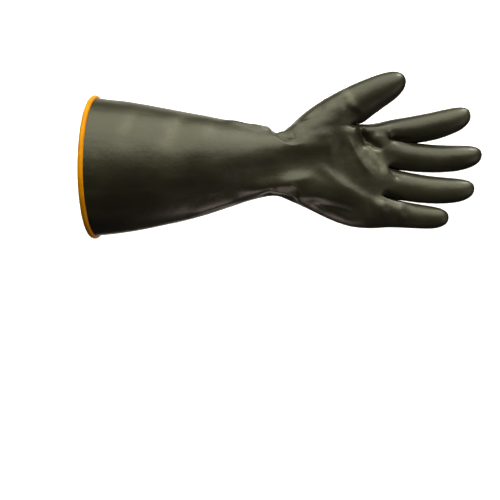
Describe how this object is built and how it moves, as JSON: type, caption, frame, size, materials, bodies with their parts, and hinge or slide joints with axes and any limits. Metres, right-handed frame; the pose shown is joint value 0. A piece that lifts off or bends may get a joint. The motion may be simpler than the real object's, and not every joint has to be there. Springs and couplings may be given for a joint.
{
  "type": "rubber glove",
  "caption": "Elbow-length industrial rubber glove for a left hand, spread as worn, with a flared gauntlet, folded wrist and rolled cuff bead.",
  "frame": {"origin": "centre of the cuff's open mouth, where the arm enters", "axes": "+X from the cuff to the fingertips, +Z towards the thumb's side, -Y towards the palm's side"},
  "size_m": [0.4115, 0.1204, 0.1731],
  "materials": {
    "shell_rubber": "satin olive-black dipped rubber, orange on the inside",
    "bead_rubber": "satin orange-yellow rubber"
  },
  "bodies": {
    "root": {"glove_shell": "shell_rubber", "cuff_bead": "bead_rubber"}
  },
  "joints": []
}
